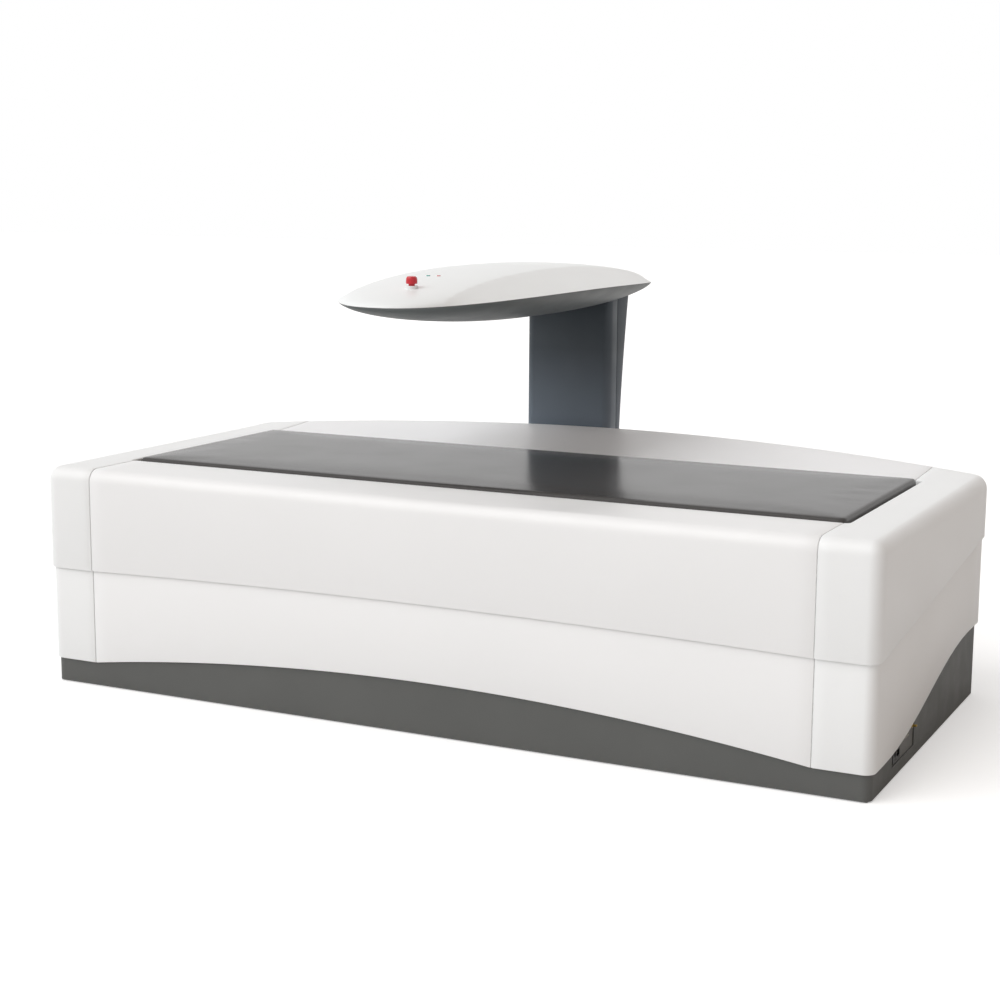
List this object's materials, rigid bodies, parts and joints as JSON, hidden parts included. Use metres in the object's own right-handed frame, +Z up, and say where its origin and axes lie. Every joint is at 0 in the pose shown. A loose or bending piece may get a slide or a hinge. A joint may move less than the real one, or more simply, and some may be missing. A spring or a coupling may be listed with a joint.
{
  "type": "bone densitometer",
  "caption": "Scanning table with a dark pad, white shell on a dark plinth, and a sliding C-shaped arm that carries an oval detector head over the pad.",
  "frame": {"origin": "on the floor, under the middle of the whole machine: half way along the table, half way from its front face to the rear tip of the head", "axes": "+X along the table towards the mains inlet end, +Y from the front to the rear where the column stands, +Z up"},
  "size_m": [2.296, 1.58, 1.131],
  "materials": {
    "cover_front": "satin white moulded cover",
    "cover_end": "satin white moulded cover",
    "cover_rear": "satin pale grey-white moulded cover",
    "plinth_grey": "fine-textured dark grey powder coat",
    "frame_grey": "dark powder coat",
    "tray_zinc": "mill finish",
    "foot_rubber": "matt black",
    "nut_steel": "zinc plated",
    "rail_steel": "ground steel",
    "panel_laminate": "sealed radiolucent laminate",
    "pad_vinyl": "glossy dark grey coated fabric over foam",
    "brush_black": "black bristle strip",
    "motor_black": "black",
    "belt_rubber": "black",
    "pulley_alu": "turned",
    "case_grey": "light grey paint",
    "control_green": "dark blue-grey paint",
    "inlet_plate": "grey paint",
    "inlet_black": "black moulded plastic",
    "pin_metal": "plated",
    "socket_grey": "pale grey moulded plastic",
    "earth_brass": "brass",
    "column_grey": "satin blue-grey moulded cover",
    "head_under": "satin dark grey moulded cover",
    "head_white": "satin white moulded cover",
    "screw_black": "blackened steel",
    "collar_pale": "pale grey moulded plastic",
    "button_red": "gloss red",
    "lamp_green": "translucent blue-green",
    "lamp_pink": "translucent amber-pink",
    "lens_red": "tinted window"
  },
  "bodies": {
    "table": {"plinth": "plinth_grey", "chassis_frame": "frame_grey", "base_tray": "tray_zinc", "levelling_feet": "foot_rubber", "foot_lock_nuts": "nut_steel", "tabletop_panel": "panel_laminate", "mattress_pad": "pad_vinyl", "upper_front_cover": "cover_front", "upper_left_end_cover": "cover_end", "upper_right_end_cover": "cover_end", "upper_rear_cover": "cover_rear", "lower_front_panel": "cover_front", "lower_left_end_panel": "cover_end", "lower_right_end_panel": "cover_end", "lower_rear_panel": "cover_rear", "panel_brackets": "frame_grey", "slot_brushes": "brush_black", "long_rails": "rail_steel", "drive_motor": "motor_black", "drive_brackets": "frame_grey", "drive_belt": "belt_rubber", "idler_axle": "nut_steel", "power_supply": "case_grey", "control_box": "control_green", "inlet_panel": "inlet_plate", "mains_inlet": "inlet_black", "inlet_pins": "pin_metal", "network_sockets": "socket_grey", "earth_terminal": "earth_brass"},
    "arm": {"carriage_plate": "tray_zinc", "bearing_blocks": "rail_steel", "belt_clamp": "tray_zinc", "arm_beam": "frame_grey", "column_frame": "frame_grey", "column_front_cover": "column_grey", "column_rear_cover": "column_grey", "head_beam": "tray_zinc", "head_lower_cover": "head_under", "head_upper_cover": "head_white", "head_screws": "screw_black", "tube_rails": "rail_steel", "detector_rails": "rail_steel", "stop_button_collar": "collar_pale", "ready_lamp": "lamp_green", "xray_lamp": "lamp_pink", "laser_lens": "lens_red"},
    "source": {"tube_carriage": "tray_zinc", "xray_tube_housing": "case_grey", "collimator": "case_grey", "tube_motor": "motor_black"},
    "detector": {"detector_carriage": "tray_zinc", "detector_module": "control_green", "detector_motor": "motor_black"},
    "shutter": {"shutter_blade": "screw_black"},
    "stop_button": {"stop_button": "button_red"},
    "power_switch": {"power_switch": "inlet_black"},
    "drive_pulley": {"drive_pulley": "pulley_alu"},
    "idler_pulley": {"idler_pulley": "pulley_alu"},
    "source_wheel": {"tube_drive_wheel": "belt_rubber"},
    "detector_wheel": {"detector_drive_wheel": "belt_rubber"}
  },
  "joints": [
    {"name": "arm_travel", "type": "slide", "parent": "table", "child": "arm", "axis": [1, 0, 0], "range_m": [-0.71, 1.05]},
    {"name": "drive_pulley_turn", "type": "hinge", "parent": "table", "child": "drive_pulley", "pos_m": [-1, -0.09, 0.29], "axis": [0, 1, 0], "range_deg": [-1361, 2010.35]},
    {"name": "idler_pulley_turn", "type": "hinge", "parent": "table", "child": "idler_pulley", "pos_m": [1, -0.09, 0.29], "axis": [0, 1, 0], "range_deg": [-1361, 2010.35]},
    {"name": "source_travel", "type": "slide", "parent": "arm", "child": "source", "axis": [0, 1, 0], "range_m": [-0.24, 0.24]},
    {"name": "detector_travel", "type": "slide", "parent": "arm", "child": "detector", "axis": [0, 1, 0], "range_m": [-0.24, 0.24]},
    {"name": "source_wheel_turn", "type": "hinge", "parent": "source", "child": "source_wheel", "pos_m": [-0.1028, -0.133, 0.36], "axis": [0, 0, 1], "range_deg": [-919, 919]},
    {"name": "detector_wheel_turn", "type": "hinge", "parent": "detector", "child": "detector_wheel", "pos_m": [-0.1443, -0.178, 1.058], "axis": [0, 0, 1], "range_deg": [-1377, 1377]},
    {"name": "shutter_slide", "type": "slide", "parent": "source", "child": "shutter", "axis": [-1, 0, 0], "range_m": [0, 0.024]},
    {"name": "stop_press", "type": "slide", "parent": "arm", "child": "stop_button", "axis": [0, 0, -1], "range_m": [0, 0.004], "stiffness_N_per_m": 1500},
    {"name": "switch_rock", "type": "hinge", "parent": "table", "child": "power_switch", "pos_m": [1.1295, -0.568, 0.054], "axis": [0, 1, 0], "range_deg": [0, 14]}
  ],
  "couplings": [
    {"joint": "drive_pulley_turn", "follows": "arm_travel", "rad_per_m": 33.333},
    {"joint": "idler_pulley_turn", "follows": "arm_travel", "rad_per_m": 33.333},
    {"joint": "detector_travel", "follows": "source_travel", "ratio": 1},
    {"joint": "source_wheel_turn", "follows": "source_travel", "rad_per_m": -66.667},
    {"joint": "detector_wheel_turn", "follows": "source_travel", "rad_per_m": -100}
  ]
}
